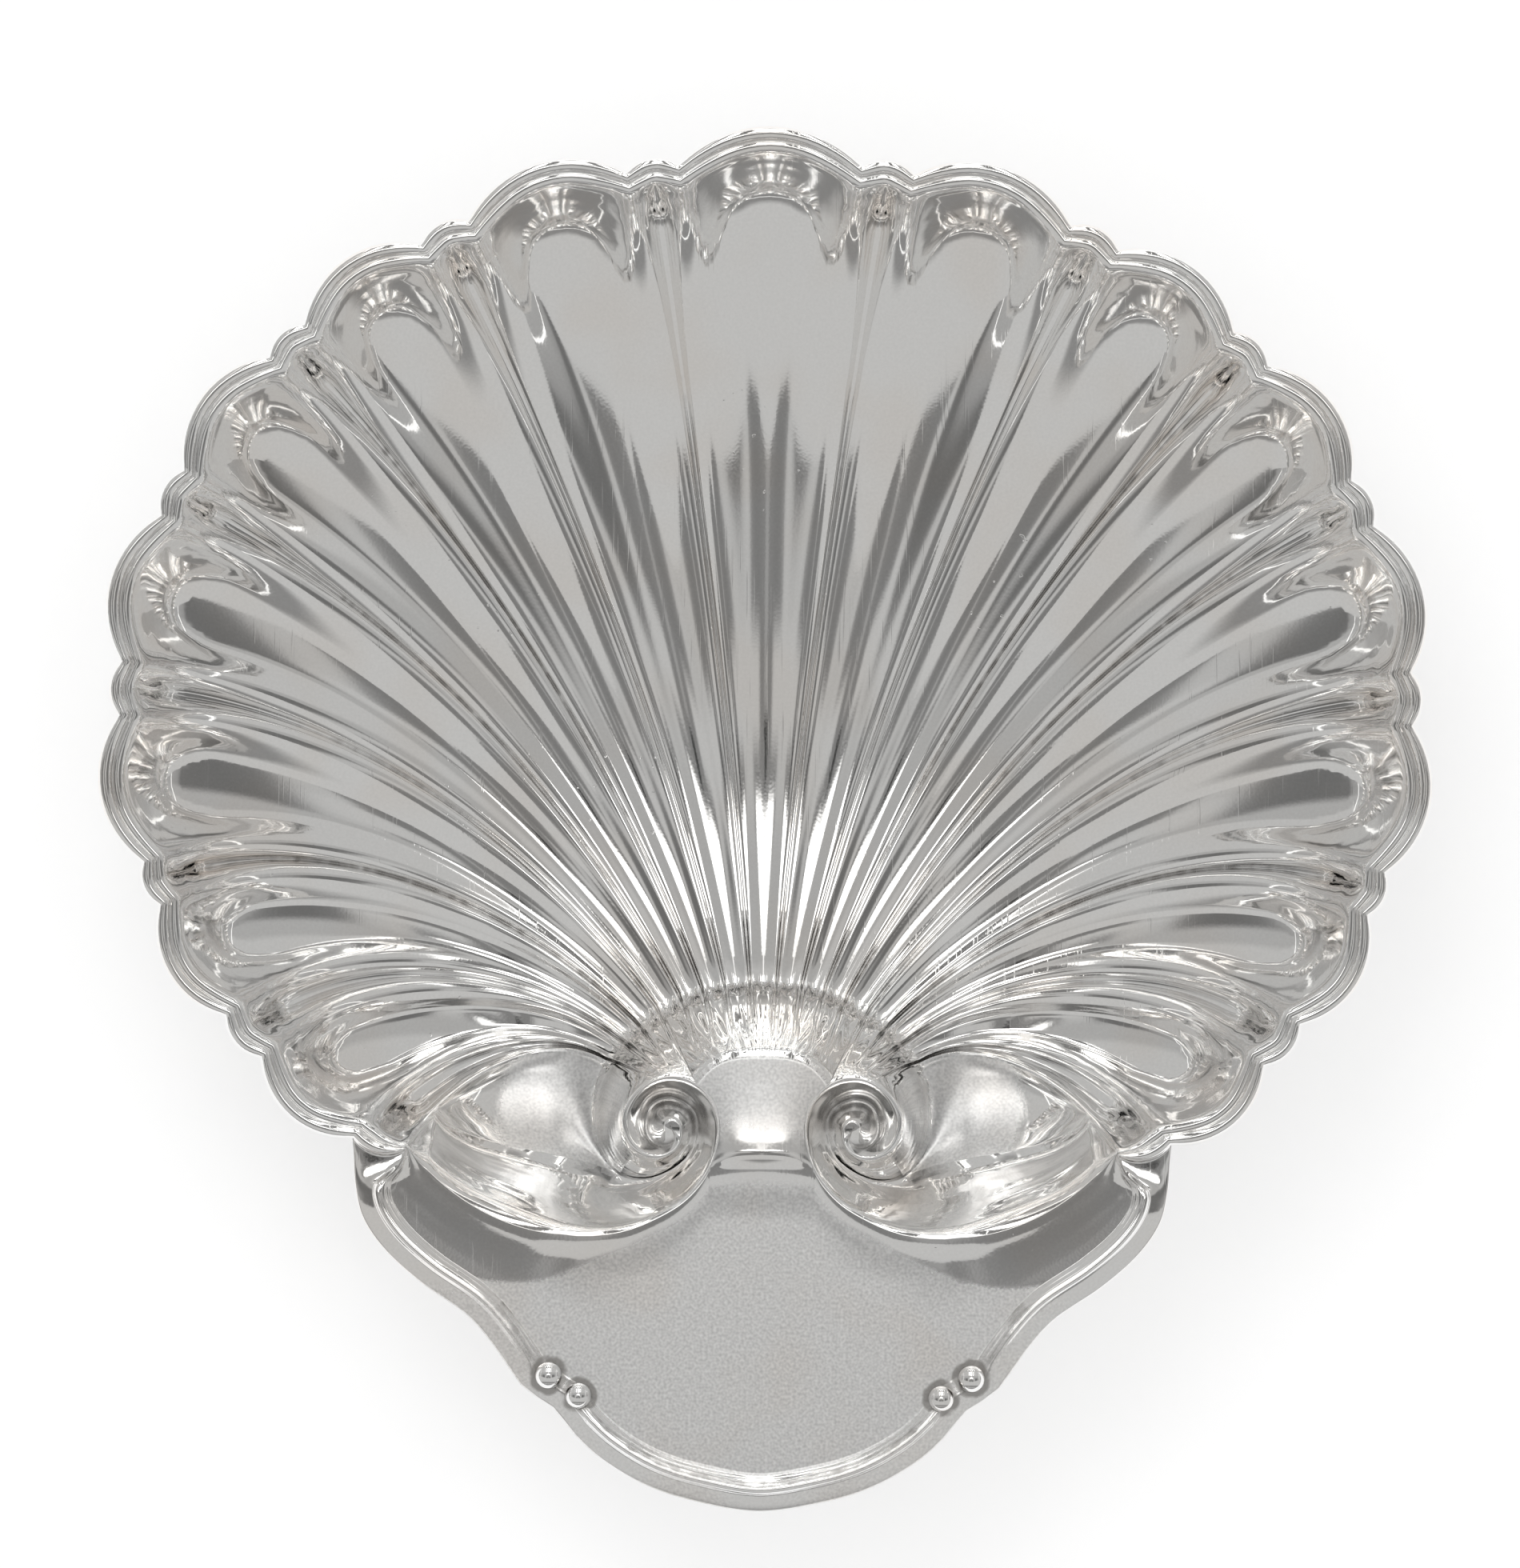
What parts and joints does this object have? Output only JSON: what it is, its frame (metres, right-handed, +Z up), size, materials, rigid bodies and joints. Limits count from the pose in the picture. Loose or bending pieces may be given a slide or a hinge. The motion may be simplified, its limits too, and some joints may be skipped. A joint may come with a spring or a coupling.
{
  "type": "shell serving dish",
  "caption": "Footed scallop shell dish in polished silver, with a fluted bowl, twin scrolls at the hinge and a flat moulded handle plate",
  "frame": {"origin": "on the surface the dish stands on, under the middle of its bounding box", "axes": "+Z up, +Y from the handle towards the far end of the shell, +X to the right when the handle is nearest; the dish is symmetric about X = 0"},
  "size_m": [0.2548, 0.2648, 0.0497],
  "materials": {
    "dish_body": "polished silver with light tarnish in the creases",
    "foot_front": "polished silver",
    "foot_left": "polished silver",
    "foot_right": "polished silver"
  },
  "bodies": {
    "root": {"dish_body": "dish_body", "foot_front": "foot_front", "foot_left": "foot_left", "foot_right": "foot_right"}
  },
  "joints": []
}
